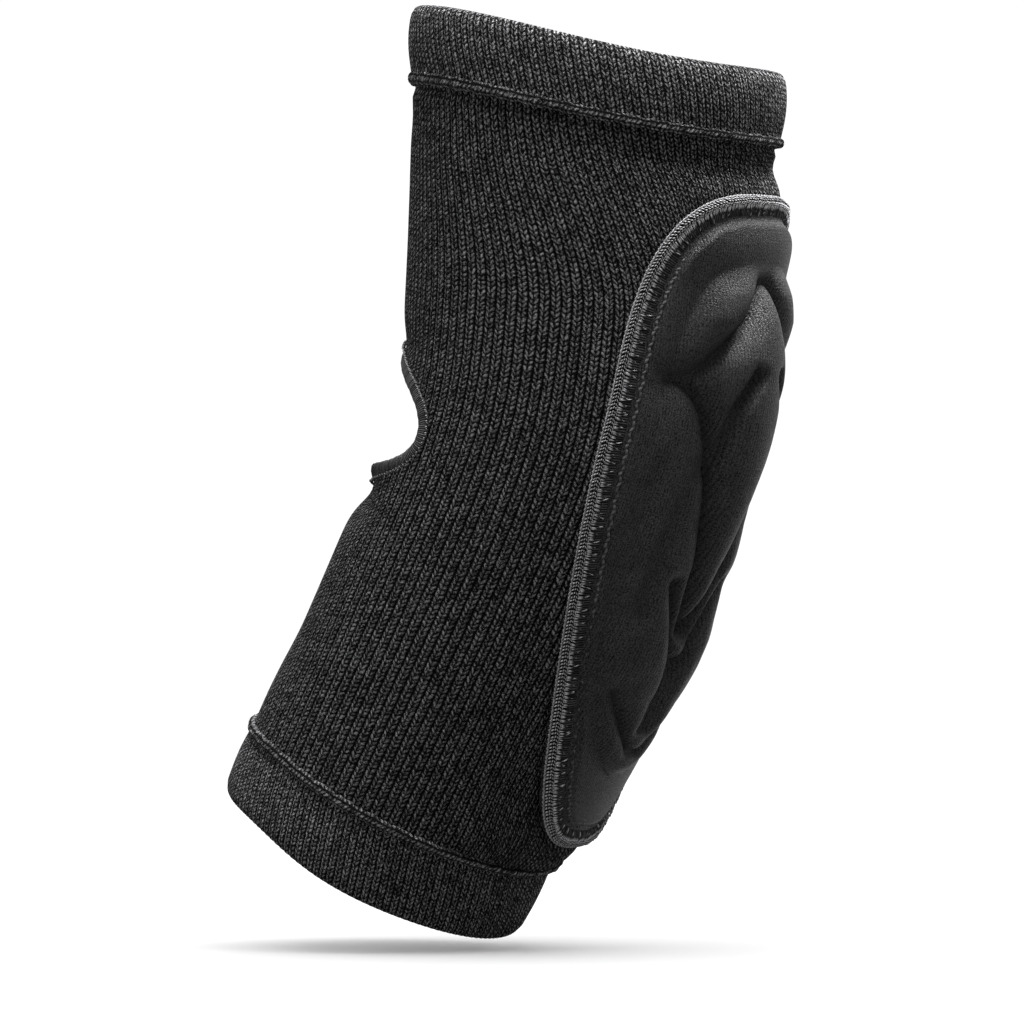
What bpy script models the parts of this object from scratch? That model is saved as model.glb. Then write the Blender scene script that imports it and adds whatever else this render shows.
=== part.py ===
"""Elbow pad: a knitted compression sleeve with cuffs, a crook opening and a moulded pad set into its back.

The sleeve is laid out on the surface of a bent arm. A place on it is given by two numbers: the turn round
the arm, in radians from the middle of the back, and the run down the arm, from 0 at the upper rim to 1 at
the lower rim. Each piece is a thickness of that surface between two heights, in metres above it.

The origin is the middle of the elbow, +Z runs up the upper arm, +X points to the back of the elbow, where
the pad is, and the elbow bends about an axis along Y.
"""

import math

import bmesh
import bpy
from mathutils import Vector

# The arm that the sleeve is shaped on.
ELBOW_CENTRE = Vector((-0.0013, 0.0, 0.006))
UPPER_ARM_LENGTH = 0.0945
FOREARM_LENGTH = 0.1270
REST_BEND = math.radians(28.5)
UPPER_ARM_LEAN = math.radians(2.6)
BEND_SOFTNESS = 0.020
UPPER_HALF_DEPTH = 0.0464
LOWER_HALF_DEPTH = 0.0416
UPPER_HALF_WIDTH = 0.0459
LOWER_HALF_WIDTH = 0.0415
UPPER_RING_TILT = math.radians(8.8)
LOWER_RING_TILT = math.radians(29.5)
TILT_FROM, TILT_TO = 0.28, 0.78

# The knit and its cuffs.
RING_COLUMNS = 48
KNIT_THICKNESS = 0.0016
CUFF_INSIDE, CUFF_OUTSIDE = -0.0016, 0.0011
CUFF_SLIT_INSIDE, CUFF_SLIT_OUTSIDE = -0.0005, 0.0
UPPER_CUFF_END = 0.074
LOWER_CUFF_START = 0.912
CUFF_SEAM_RUN = 0.014
CUFF_SEAM_HEIGHT = 0.0022
GAP = 0.0003
RUN_GAP = 0.0016

# The crook opening in front of the elbow.
OPENING_RUN_MIDDLE = 0.498
OPENING_RUN_HALF = 0.099
OPENING_TURN_HALF = math.radians(66)
OPENING_BAND = 0.0040
OPENING_BAND_HEIGHT = 0.0010

# The pad set into the back. Its outline is an egg: a superellipse whose half width narrows down the forearm.
PAD_TOP, PAD_BOTTOM = 0.150, 0.856
PAD_WIDE_TURN = math.radians(51.5)
PAD_NARROW_TURN = math.radians(31.0)
PAD_NARROWS_FROM, PAD_NARROWS_TO = 0.42, 0.82
PAD_ROUNDNESS = 3.0
PAD_SEAM_INNER = 0.86
PAD_SEAM_FOOT = -0.0012
PAD_SEAM_HEIGHT = 0.0032
LINING_THICKNESS = 0.0010
COVER_THICKNESS = 0.0010
FLANGE_HEIGHT = 0.0012
DOME_HEIGHT = 0.0095
DOME_RISE = 0.30
FOAM_CLEARANCE = 0.0012
FOAM_FILL = 0.85

# Where the sleeve divides into what follows the upper arm, what bends at the elbow and what follows the
# forearm: the run at the back of the arm and the run at the crook.
UPPER_SPLIT_BACK, UPPER_SPLIT_CROOK = 0.345, 0.235
FOREARM_SPLIT_BACK, FOREARM_SPLIT_CROOK = 0.530, 0.760
PAD_UPPER_SPLIT, PAD_FOREARM_SPLIT = -0.34, 0.14
PAD_SPLIT_GAP = 0.006

KNIT_BLACK = (0.030, 0.030, 0.032)
THREAD_BLACK = (0.045, 0.045, 0.047)
COVER_BLACK = (0.020, 0.020, 0.022)
LINING_BLACK = (0.024, 0.024, 0.026)
FOAM_GREY = (0.080, 0.080, 0.085)


def clear_scene():
    """Remove the objects that the startup scene holds."""
    for obj in list(bpy.data.objects):
        bpy.data.objects.remove(obj, do_unlink=True)


def material(name, colour, roughness):
    """A plain cloth or foam finish."""
    made = bpy.data.materials.new(name)
    made.use_nodes = True
    shader = made.node_tree.nodes["Principled BSDF"]
    shader.inputs["Base Color"].default_value = (*colour, 1.0)
    shader.inputs["Roughness"].default_value = roughness
    shader.inputs["Metallic"].default_value = 0.0
    return made


def ease(value, start, end):
    """0 before start, 1 after end, with a smooth rise between them."""
    share = min(max((value - start) / (end - start), 0.0), 1.0)
    return share * share * (3.0 - 2.0 * share)


def mix(first, second, share):
    return first + (second - first) * share


def arm_point(turn, run):
    """The place on the arm's surface at this turn and run."""
    along = mix(-UPPER_ARM_LENGTH, FOREARM_LENGTH, run)
    past = (along + math.hypot(along, BEND_SOFTNESS)) / 2.0
    up = Vector((math.sin(UPPER_ARM_LEAN), 0.0, math.cos(UPPER_ARM_LEAN)))
    down = Vector((-math.sin(REST_BEND), 0.0, -math.cos(REST_BEND)))
    middle = ELBOW_CENTRE + up * (past - along) + down * past
    tilt = mix(UPPER_RING_TILT, LOWER_RING_TILT, ease(run, TILT_FROM, TILT_TO))
    depth = mix(UPPER_HALF_DEPTH, LOWER_HALF_DEPTH, run) * math.cos(turn)
    width = mix(UPPER_HALF_WIDTH, LOWER_HALF_WIDTH, run) * math.sin(turn)
    return middle + Vector((depth * math.cos(tilt), -width, -depth * math.sin(tilt)))


def surface_point(turn, run, height):
    """The place that is height metres straight out from the arm's surface."""
    step = 0.001
    across = arm_point(turn + step, run) - arm_point(turn - step, run)
    along = arm_point(turn, run + step) - arm_point(turn, run - step)
    return arm_point(turn, run) + across.cross(along).normalized() * height


def pad_place(across, along):
    """Turn and run of a place on the pad. Both numbers go from -1 to 1, and the square's rim is the outline."""
    reach = max(abs(across), abs(along))
    spread = (abs(across) ** PAD_ROUNDNESS + abs(along) ** PAD_ROUNDNESS) ** (1.0 / PAD_ROUNDNESS)
    shrink = reach / spread if spread > 0.0 else 1.0
    run = mix(PAD_TOP, PAD_BOTTOM, (along * shrink + 1.0) / 2.0)
    half_turn = mix(PAD_WIDE_TURN, PAD_NARROW_TURN, ease(run, PAD_NARROWS_FROM, PAD_NARROWS_TO))
    return across * shrink * half_turn, run


def dome(across, along):
    """Height of the foam's top over the flange: flat round the edge and full over the middle."""
    from_edge = PAD_SEAM_INNER - max(abs(across), abs(along))
    return DOME_HEIGHT * ease(from_edge, 0.04, DOME_RISE)


def closed_patch(name, place, low, high, columns, rows, finish, ring=False):
    """One closed solid between two heights over a grid of places.

    place, low and high take two numbers from 0 to 1, across and along. A ring joins its two side edges.
    """
    mesh = bmesh.new()
    bmesh.ops.create_grid(mesh, x_segments=columns, y_segments=rows, size=0.5)
    flat = {vert: (round(vert.co.x + 0.5, 6), round(vert.co.y + 0.5, 6)) for vert in mesh.verts}
    copied = bmesh.ops.duplicate(mesh, geom=list(mesh.faces))["vert_map"]
    upper = {copied[vert]: flat[vert] for vert in flat}
    for heights, verts in ((low, flat), (high, upper)):
        for vert, (across, along) in verts.items():
            vert.co = surface_point(*place(across, along), heights(across, along))
    runs = {vert: along for verts in (flat, upper) for vert, (across, along) in verts.items()}
    if ring:
        bmesh.ops.remove_doubles(mesh, verts=mesh.verts, dist=1e-6)
    rims = [edge for edge in mesh.edges if edge.is_boundary]
    if ring:
        for end in (0.0, 1.0):
            rim = [edge for edge in rims if all(runs[vert] == end for vert in edge.verts)]
            bmesh.ops.bridge_loops(mesh, edges=rim)
    else:
        bmesh.ops.bridge_loops(mesh, edges=rims)
    bmesh.ops.recalc_face_normals(mesh, faces=mesh.faces)
    return finish_object(name, mesh, finish)


def finish_object(name, mesh, finish):
    """Store the mesh as an object of this name with this material."""
    data = bpy.data.meshes.new(name)
    mesh.to_mesh(data)
    mesh.free()
    data.materials.append(finish)
    obj = bpy.data.objects.new(name, data)
    bpy.context.collection.objects.link(obj)
    return obj


def cut(obj, cutter):
    """Take the cutter's space out of the object."""
    cutter.hide_render = True
    cutter.display_type = "WIRE"
    modifier = obj.modifiers.new("cut_" + cutter.name, "BOOLEAN")
    modifier.object = cutter
    modifier.operation = "DIFFERENCE"
    modifier.solver = "EXACT"


def upper_split(turn):
    return mix(UPPER_SPLIT_CROOK, UPPER_SPLIT_BACK, (math.cos(turn) + 1.0) / 2.0)


def forearm_split(turn):
    return mix(FOREARM_SPLIT_CROOK, FOREARM_SPLIT_BACK, (math.cos(turn) + 1.0) / 2.0)


def sleeve_ring(name, start, end, low, high, rows, finish):
    """A ring of fabric between two runs, each a number or a function of the turn."""
    start_at = start if callable(start) else lambda turn: start
    end_at = end if callable(end) else lambda turn: end

    def place(across, along):
        turn = (across * 2.0 - 1.0) * math.pi
        return turn, mix(start_at(turn), end_at(turn), along)

    return closed_patch(name, place, lambda a, b: low, lambda a, b: high, RING_COLUMNS, rows, finish, ring=True)


def folded_cuff(name, rim, inner_edge, finish):
    """A cuff of one knit folded double at the rim: two layers with a slit between them, open at the seam."""
    cuff = sleeve_ring(name, rim, inner_edge, CUFF_INSIDE, CUFF_OUTSIDE, 2, finish)
    past_edge = mix(inner_edge, rim, -0.5)
    near_rim = mix(rim, inner_edge, 0.12)
    slit = sleeve_ring(
        name + "_slit", near_rim, past_edge, CUFF_SLIT_INSIDE, CUFF_SLIT_OUTSIDE, 2, finish
    )
    cut(cuff, slit)
    return cuff


def pad_patch(name, across, along, low, high, columns, rows, finish):
    """A closed solid over a part of the pad, from across[0] to across[1] and from along[0] to along[1]."""

    def pad_numbers(a, b):
        return mix(across[0], across[1], a), mix(along[0], along[1], b)

    return closed_patch(
        name,
        lambda a, b: pad_place(*pad_numbers(a, b)),
        lambda a, b: low(*pad_numbers(a, b)),
        lambda a, b: high(*pad_numbers(a, b)),
        columns,
        rows,
        finish,
    )


def level(height):
    """The same height everywhere."""
    return lambda across, along: height


def opening_place(across, along):
    """Turn and run of a place on the crook opening, with the square's rim as its rounded outline."""
    reach = max(abs(across), abs(along))
    spread = (abs(across) ** 2.6 + abs(along) ** 2.6) ** (1.0 / 2.6)
    shrink = reach / spread if spread > 0.0 else 1.0
    run = OPENING_RUN_MIDDLE + along * shrink * OPENING_RUN_HALF
    return math.pi + across * shrink * OPENING_TURN_HALF, run


def opening_patch(name, scale, low, high, finish):
    """A closed solid that fills the crook opening, made larger or smaller by scale."""
    run_scale, turn_scale = scale

    def place(across, along):
        turn, run = opening_place(across * 2.0 - 1.0, along * 2.0 - 1.0)
        run = OPENING_RUN_MIDDLE + (run - OPENING_RUN_MIDDLE) * run_scale
        return math.pi + (turn - math.pi) * turn_scale, run

    return closed_patch(name, place, level(low), level(high), 14, 14, finish)


def make_sleeve(knit, thread):
    """The tube of knit in its three parts, the cuffs, their seams and the crook opening's edge."""
    seam_end = UPPER_CUFF_END + CUFF_SEAM_RUN
    seam_start = LOWER_CUFF_START - CUFF_SEAM_RUN
    folded_cuff("upper_cuff", 0.0, UPPER_CUFF_END, knit)
    folded_cuff("lower_cuff", 1.0, LOWER_CUFF_START, knit)
    low, high = CUFF_INSIDE, CUFF_SEAM_HEIGHT
    sleeve_ring("upper_cuff_seam", UPPER_CUFF_END + RUN_GAP, seam_end, low, high, 1, thread)
    sleeve_ring("lower_cuff_seam", seam_start, LOWER_CUFF_START - RUN_GAP, low, high, 1, thread)
    upper = sleeve_ring(
        "upper_sleeve_knit", seam_end + RUN_GAP, upper_split, -KNIT_THICKNESS, 0.0, 5, knit
    )
    elbow = sleeve_ring(
        "elbow_knit",
        lambda turn: upper_split(turn) + RUN_GAP,
        lambda turn: forearm_split(turn) - RUN_GAP,
        -KNIT_THICKNESS,
        0.0,
        10,
        knit,
    )
    forearm = sleeve_ring(
        "forearm_sleeve_knit", forearm_split, seam_start - RUN_GAP, -KNIT_THICKNESS, 0.0, 5, knit
    )
    pad_hole = pad_patch("pad_hole", (-1.0, 1.0), (-1.0, 1.0), level(-0.01), level(0.01), 16, 28, knit)
    for piece in (upper, elbow, forearm):
        cut(piece, pad_hole)
    band_run = OPENING_BAND / (UPPER_ARM_LENGTH + FOREARM_LENGTH) / OPENING_RUN_HALF
    band_turn = OPENING_BAND / UPPER_HALF_DEPTH / OPENING_TURN_HALF
    slack = 0.02
    opening = opening_patch("crook_hole", (1.0 + slack, 1.0 + slack), -0.01, 0.01, knit)
    cut(elbow, opening)
    edge = opening_patch(
        "crook_opening_edge", (1.0, 1.0), -KNIT_THICKNESS, OPENING_BAND_HEIGHT, thread
    )
    inside = opening_patch("crook_inside", (1.0 - band_run, 1.0 - band_turn), -0.01, 0.01, knit)
    cut(edge, inside)


def make_pad(cover, lining, foam, thread):
    """The pad from the skin out: lining, foam blocks, cover, and the overlock seam round it."""
    inner = PAD_SEAM_INNER - 0.015
    half_gap = PAD_SPLIT_GAP / 2.0
    parts = {
        "upper": (-inner, PAD_UPPER_SPLIT - half_gap),
        "elbow": (PAD_UPPER_SPLIT + half_gap, PAD_FOREARM_SPLIT - half_gap),
        "forearm": (PAD_FOREARM_SPLIT + half_gap, inner),
    }
    for part, along in parts.items():
        pad_patch(
            "pad_lining_" + part,
            (-inner, inner),
            along,
            level(-KNIT_THICKNESS),
            level(LINING_THICKNESS - KNIT_THICKNESS),
            12,
            6,
            lining,
        )
        pad_patch(
            "pad_cover_" + part,
            (-inner, inner),
            along,
            lambda a, b: FLANGE_HEIGHT + dome(a, b),
            lambda a, b: FLANGE_HEIGHT + COVER_THICKNESS + dome(a, b),
            16,
            10,
            cover,
        )
    foam_foot = LINING_THICKNESS - KNIT_THICKNESS + GAP
    blocks = {
        "foam_upper_block": ((-0.58, 0.58), (-0.72, -0.36)),
        "foam_centre_block": ((-0.24, 0.24), (-0.32, 0.12)),
        "foam_side_block_left": ((-0.66, -0.27), (-0.32, 0.12)),
        "foam_side_block_right": ((0.27, 0.66), (-0.32, 0.12)),
        "foam_forearm_block_left": ((-0.64, -0.04), (0.16, 0.58)),
        "foam_forearm_block_right": ((0.04, 0.64), (0.16, 0.58)),
        "foam_lower_block": ((-0.56, 0.56), (0.62, 0.76)),
    }
    for name, (across, along) in blocks.items():
        pad_patch(
            name,
            across,
            along,
            level(foam_foot),
            lambda a, b: FLANGE_HEIGHT - FOAM_CLEARANCE + FOAM_FILL * dome(a, b),
            6,
            6,
            foam,
        )
    make_pad_seam(thread)


def make_pad_seam(thread):
    """The overlock seam round the pad, in the four lengths that follow the arm, the elbow's sides and the forearm."""
    seam_in, seam_out = PAD_SEAM_INNER, 0.985
    half_gap = PAD_SPLIT_GAP / 2.0
    low, high = level(PAD_SEAM_FOOT), level(PAD_SEAM_HEIGHT)
    for side, sign in (("left", -1.0), ("right", 1.0)):
        strip = sorted((sign * seam_in, sign * seam_out))
        along = (PAD_UPPER_SPLIT + half_gap, PAD_FOREARM_SPLIT - half_gap)
        pad_patch("pad_seam_elbow_" + side, strip, along, low, high, 2, 8, thread)
    ends = {
        "upper": (-seam_out, PAD_UPPER_SPLIT - half_gap, -seam_in),
        "forearm": (seam_out, PAD_FOREARM_SPLIT + half_gap, seam_in),
    }
    for part, (tip, stop, inner_tip) in ends.items():
        seam = pad_patch(
            "pad_seam_" + part,
            (-seam_out, seam_out),
            sorted((tip, stop)),
            low,
            high,
            20,
            10,
            thread,
        )
        past = stop + (stop - tip) * 0.2
        inside = pad_patch(
            "pad_seam_inside_" + part,
            (-seam_in, seam_in),
            sorted((inner_tip, past)),
            level(-0.01),
            level(0.012),
            20,
            10,
            thread,
        )
        cut(seam, inside)


def main():
    clear_scene()
    knit = material("ribbed knit", KNIT_BLACK, 0.9)
    thread = material("overlock thread", THREAD_BLACK, 0.8)
    cover = material("stretch cover", COVER_BLACK, 0.6)
    lining = material("lining jersey", LINING_BLACK, 0.85)
    foam = material("moulded foam", FOAM_GREY, 0.9)
    make_sleeve(knit, thread)
    make_pad(cover, lining, foam, thread)


main()
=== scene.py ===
"""Elbow pad: the knitted sleeve, its cuffs and seams, and the padded cover with its overlock stitching.

Every piece is first laid out flat, on a bmesh grid, and then draped on the arm. A place on the arm is the
turn round it, in radians from the middle of the back, the run down it, from 0 at the upper rim to 1 at the
lower rim, and the height above it, in metres.
"""

import math

import bmesh
import bpy
import numpy as np
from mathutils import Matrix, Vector


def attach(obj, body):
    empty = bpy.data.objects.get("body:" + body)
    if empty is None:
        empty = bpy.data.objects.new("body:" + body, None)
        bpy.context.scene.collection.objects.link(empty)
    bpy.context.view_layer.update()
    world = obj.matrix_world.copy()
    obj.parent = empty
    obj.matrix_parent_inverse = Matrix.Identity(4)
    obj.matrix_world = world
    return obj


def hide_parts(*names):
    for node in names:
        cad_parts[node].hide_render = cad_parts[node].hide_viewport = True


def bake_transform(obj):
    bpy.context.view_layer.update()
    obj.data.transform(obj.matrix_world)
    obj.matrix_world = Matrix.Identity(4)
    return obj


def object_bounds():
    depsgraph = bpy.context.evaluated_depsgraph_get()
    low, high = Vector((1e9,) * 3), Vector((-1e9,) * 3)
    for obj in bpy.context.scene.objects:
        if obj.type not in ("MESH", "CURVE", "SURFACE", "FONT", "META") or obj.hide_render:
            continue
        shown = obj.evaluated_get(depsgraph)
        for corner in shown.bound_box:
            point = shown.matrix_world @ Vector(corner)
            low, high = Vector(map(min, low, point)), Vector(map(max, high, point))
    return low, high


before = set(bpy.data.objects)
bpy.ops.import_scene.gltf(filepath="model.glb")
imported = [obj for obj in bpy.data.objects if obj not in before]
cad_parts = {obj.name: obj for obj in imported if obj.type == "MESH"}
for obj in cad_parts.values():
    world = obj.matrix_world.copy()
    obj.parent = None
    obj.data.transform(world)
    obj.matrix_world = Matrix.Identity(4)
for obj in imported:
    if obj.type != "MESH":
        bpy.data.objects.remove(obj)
cad_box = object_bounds()

UPPER, FOREARM = "upper_arm", "forearm"

# The arm that the sleeve is shaped on, as in the CAD.
ELBOW_CENTRE = np.array((-0.0013, 0.0, 0.006))
UPPER_ARM_LENGTH = 0.0945
FOREARM_LENGTH = 0.1270
REST_BEND = math.radians(28.5)
UPPER_ARM_LEAN = math.radians(2.6)
BEND_SOFTNESS = 0.020
HALF_DEPTHS = 0.0464, 0.0416
HALF_WIDTHS = 0.0459, 0.0415
RING_TILTS = math.radians(8.8), math.radians(29.5)
TILT_FROM, TILT_TO = 0.28, 0.78
ARM_LENGTH = UPPER_ARM_LENGTH + FOREARM_LENGTH
ARM_RADIUS = 0.0450
BACK_LENGTH = 0.2350

# The knit: its ribs round the arm, its stitches along it, and the cuffs.
WALES = 126
CUFF_WALES = 132
WALE_COLUMNS = 6
COURSE = 0.00128
CUFF_COURSE = 0.00122
RIB_HEIGHT = 0.00045
KNIT_THICKNESS = 0.0013
CUFF_THICKNESS = 0.0022
UPPER_CUFF_END = 0.074
LOWER_CUFF_START = 0.912
CUFF_SEAM_RUN = 0.014
LINKING_HALF_RUN = 0.0066
LINKING_FOOT, LINKING_TOP = -0.0014, 0.0016

# The crook opening.
OPENING_RUN_MIDDLE = 0.480
OPENING_RUN_HALF = 0.101
OPENING_TURN_HALF = math.radians(70)
OPENING_ROUNDNESS = 2.1
OPENING_POINT = 0.0155
OPENING_EDGE = 0.965

# The pad.
PAD_TOP, PAD_BOTTOM = 0.150, 0.856
PAD_MIDDLE = (PAD_TOP + PAD_BOTTOM) / 2.0
PAD_HALF_RUN = (PAD_BOTTOM - PAD_TOP) / 2.0
PAD_TURNS = math.radians(51.5), math.radians(31.0)
PAD_NARROWS_FROM, PAD_NARROWS_TO = 0.42, 0.82
PAD_ROUNDNESS = 3.0
# The sleeve's hole and the pad's sheets both end at this share of the pad's outline.
PAD_EDGE = 0.955
SEAM_WIDTH = 0.0058
SEAM_CREST = 0.0034
FLANGE_HEIGHT = 0.0042
CHANNEL_HEIGHT = 0.0006
SEAM_INNER_HEIGHT = 0.0024
PAD_EDGE_ROUNDING = 0.0030
CORE_SHARE, CORE_DROP = 0.6, 0.0010
LINING_HEIGHT = -0.0014
JERSEY_WALE, JERSEY_COURSE = 0.00072, 0.00085
# The strands of wound thread that lie side by side on a millimetre of seam.
STRANDS_PER_MM = 1.0 / 0.62
CLOTH_GRID = 72, 124
CLOTH_FRAMES = 20
CLOTH_PRESSURE = 4.0
MOST_SHIFT = 0.0015


# ---------------------------------------------------------------- the arm


def ease(value, start, end):
    """0 before start, 1 after end, with a smooth rise between them."""
    share = np.clip((np.asarray(value, float) - start) / (end - start), 0.0, 1.0)
    return share * share * (3.0 - 2.0 * share)


def mix(pair, share):
    return pair[0] + (pair[1] - pair[0]) * share


def hump(value, middle, width):
    """A smooth hump: 1 at the middle, and about a third of that a width away."""
    return np.exp(-(((value - middle) / width) ** 2))


def around(a):
    """The turn at a share of the way round, from the front over the back to the front again."""
    return (a * 2.0 - 1.0) * math.pi


def from_back(turn):
    """How far round from the middle of the back, either way: 0 there and pi at the front."""
    return np.abs(np.mod(turn + math.pi, 2.0 * math.pi) - math.pi)


def sagged(turn, run):
    """The run with the rims' sag: knitted rims and their seams don't lie in one plane."""
    away = from_back(turn)
    upper = 0.0036 + 0.0066 * np.cos(turn) - 0.0130 * np.sin(turn) - 0.0012 * np.cos(2.0 * turn)
    upper = upper + 0.0018 * np.sin(2.0 * turn) - 0.0017 * np.cos(3.0 * turn) + 0.0018 * np.sin(3.0 * turn)
    lower = 0.016 * ease(away, 1.9, 2.9) * ease(-np.abs(run - 0.90), -0.07, 0.0)
    lower = lower - 0.009 * hump(away, 1.95, 0.45) * ease(run, 0.93, 1.0)
    return run + upper * (1.0 - ease(run, 0.06, 0.15)) + lower


def arm_points(turn, run):
    """Places on the arm's surface, one for each turn and run."""
    run = sagged(turn, run)
    along = mix((-UPPER_ARM_LENGTH, FOREARM_LENGTH), run)
    past = (along + np.hypot(along, BEND_SOFTNESS)) / 2.0
    tilt = mix(RING_TILTS, ease(run, TILT_FROM, TILT_TO))
    depth = mix(HALF_DEPTHS, run) * np.cos(turn)
    width = mix(HALF_WIDTHS, run) * np.sin(turn)
    x = ELBOW_CENTRE[0] + math.sin(UPPER_ARM_LEAN) * (past - along) - math.sin(REST_BEND) * past
    z = ELBOW_CENTRE[2] + math.cos(UPPER_ARM_LEAN) * (past - along) - math.cos(REST_BEND) * past
    return np.stack([x + depth * np.cos(tilt), -width, z - depth * np.sin(tilt)], axis=-1)


def arm_normals(turn, run):
    step = 0.001
    across = arm_points(turn + step, run) - arm_points(turn - step, run)
    along = arm_points(turn, run + step) - arm_points(turn, run - step)
    out = np.cross(across, along)
    return out / np.linalg.norm(out, axis=-1, keepdims=True)


def drape(turn, run, height):
    """Places height metres straight out from the arm."""
    turn, run, height = np.broadcast_arrays(turn, run, height)
    return arm_points(turn, run) + arm_normals(turn, run) * height[..., None]


# ---------------------------------------------------------------- meshes


def unit_grid(columns, rows):
    """A flat grid over the unit square."""
    mesh = bmesh.new()
    bmesh.ops.create_grid(mesh, x_segments=columns, y_segments=rows, size=0.5)
    bmesh.ops.translate(mesh, verts=mesh.verts, vec=(0.5, 0.5, 0.0))
    return mesh


def coordinates(data):
    """The mesh's points as an array."""
    points = np.empty(len(data.vertices) * 3)
    data.vertices.foreach_get("co", points)
    return points.reshape(-1, 3)


def shape_mesh(name, mesh, points_of, pattern_of, drop=None, close=True):
    """Turn a flat grid into a finished mesh.

    points_of takes the grid's a and b, from 0 to 1, and gives the places; pattern_of gives the pattern's two
    numbers, kept as the UV map; drop says which faces to leave out, by the a and b of their middles; close
    joins the edges of the grid where they meet.
    """
    if drop is not None:
        middles = np.array([face.calc_center_median()[:2] for face in mesh.faces])
        unwanted = drop(middles[:, 0], middles[:, 1])
        faces = [face for face, gone in zip(list(mesh.faces), unwanted) if gone]
        bmesh.ops.delete(mesh, geom=faces, context="FACES")
    data = bpy.data.meshes.new(name)
    mesh.to_mesh(data)
    mesh.free()
    flat = coordinates(data)
    a, b = flat[:, 0].copy(), flat[:, 1].copy()
    corners = np.empty(len(data.loops), np.int32)
    data.loops.foreach_get("vertex_index", corners)
    pattern = np.stack(np.broadcast_arrays(*pattern_of(a, b)), axis=-1)[corners]
    data.uv_layers.new(name="UVMap").data.foreach_set("uv", pattern.astype(np.float32).ravel())
    data.vertices.foreach_set("co", points_of(a, b).astype(np.float32).ravel())
    if close:
        joined = bmesh.new()
        joined.from_mesh(data)
        rim = [vert for vert in joined.verts if vert.is_boundary]
        bmesh.ops.remove_doubles(joined, verts=rim, dist=1e-6)
        joined.to_mesh(data)
        joined.free()
    data.shade_smooth()
    return data


def add_piece(name, data, finish, stands_for=()):
    """Store a mesh as a piece of the object, in the place of the CAD nodes that it stands for."""
    obj = bpy.data.objects.new(name, data)
    bpy.context.scene.collection.objects.link(obj)
    data.materials.clear()
    data.materials.append(finish)
    if stands_for:
        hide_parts(*stands_for)
    return obj


def bend_with_elbow(obj):
    """The piece crosses the elbow; its place is baked into its mesh, and it is fastened to neither body."""
    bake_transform(obj)


# ---------------------------------------------------------------- materials


class Finish:
    """Builds one node material: each call adds a node and returns its output socket."""

    def __init__(self, name):
        self.material = bpy.data.materials.new(name)
        self.material.use_nodes = True
        self.nodes = self.material.node_tree.nodes
        self.links = self.material.node_tree.links
        self.shader = self.nodes["Principled BSDF"]

    def math(self, operation, first, second=0.0, third=0.0):
        node = self.nodes.new("ShaderNodeMath")
        node.operation = operation
        for socket, value in zip(node.inputs, (first, second, third)):
            self.feed(socket, value)
        return node.outputs[0]

    def feed(self, socket, value):
        if isinstance(value, bpy.types.NodeSocket):
            self.links.new(value, socket)
        else:
            socket.default_value = value

    def pattern(self):
        """The two numbers of the piece's own pattern, across and along."""
        uv = self.nodes.new("ShaderNodeUVMap")
        uv.uv_map = "UVMap"
        split = self.nodes.new("ShaderNodeSeparateXYZ")
        self.links.new(uv.outputs[0], split.inputs[0])
        return split.outputs[0], split.outputs[1]

    def arch(self, value):
        """Half a sine wave over each whole step of the value."""
        return self.math("SINE", self.math("MULTIPLY", self.math("FRACT", value), math.pi))

    def noise(self, scale, detail=2.0, rough=0.5):
        """Even noise through the object's space."""
        place = self.nodes.new("ShaderNodeTexCoord")
        noise = self.nodes.new("ShaderNodeTexNoise")
        self.links.new(place.outputs["Object"], noise.inputs["Vector"])
        noise.inputs["Scale"].default_value = scale
        noise.inputs["Detail"].default_value = detail
        noise.inputs["Roughness"].default_value = rough
        return noise.outputs["Fac"]

    def contrast(self, value, gain):
        """The value spread about its middle, kept from 0 to 1."""
        node = self.nodes.new("ShaderNodeMath")
        node.operation = "MULTIPLY_ADD"
        node.use_clamp = True
        self.feed(node.inputs[0], value)
        node.inputs[1].default_value = gain
        node.inputs[2].default_value = 0.5 - 0.5 * gain
        return node.outputs[0]

    def cell_noise(self, across, along):
        """One random number for each cell of the pattern."""
        join = self.nodes.new("ShaderNodeCombineXYZ")
        self.feed(join.inputs[0], self.math("FLOOR", across))
        self.feed(join.inputs[1], self.math("FLOOR", along))
        white = self.nodes.new("ShaderNodeTexWhiteNoise")
        white.noise_dimensions = "2D"
        self.links.new(join.outputs[0], white.inputs["Vector"])
        return white.outputs["Value"]

    def ramp(self, value, stops):
        """Colours along a value: stops are (place, brightness) pairs."""
        node = self.nodes.new("ShaderNodeValToRGB")
        self.feed(node.inputs[0], value)
        elements = node.color_ramp.elements
        while len(elements) < len(stops):
            elements.new(0.5)
        for element, (place, colour) in zip(elements, stops):
            element.position = place
            element.color = (colour, colour, colour * 1.03, 1.0)
        return node.outputs[0]

    def bump(self, height, distance):
        node = self.nodes.new("ShaderNodeBump")
        node.inputs["Distance"].default_value = distance
        self.feed(node.inputs["Height"], height)
        self.links.new(node.outputs[0], self.shader.inputs["Normal"])

    def surface(self, colour, roughness, sheen=0.0, sheen_roughness=0.4, specular=0.02):
        self.feed(self.shader.inputs["Base Color"], colour)
        self.feed(self.shader.inputs["Roughness"], roughness)
        self.shader.inputs["Sheen Weight"].default_value = sheen
        self.shader.inputs["Sheen Roughness"].default_value = sheen_roughness
        self.feed(self.shader.inputs["Specular IOR Level"], specular)
        return self.material


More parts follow.
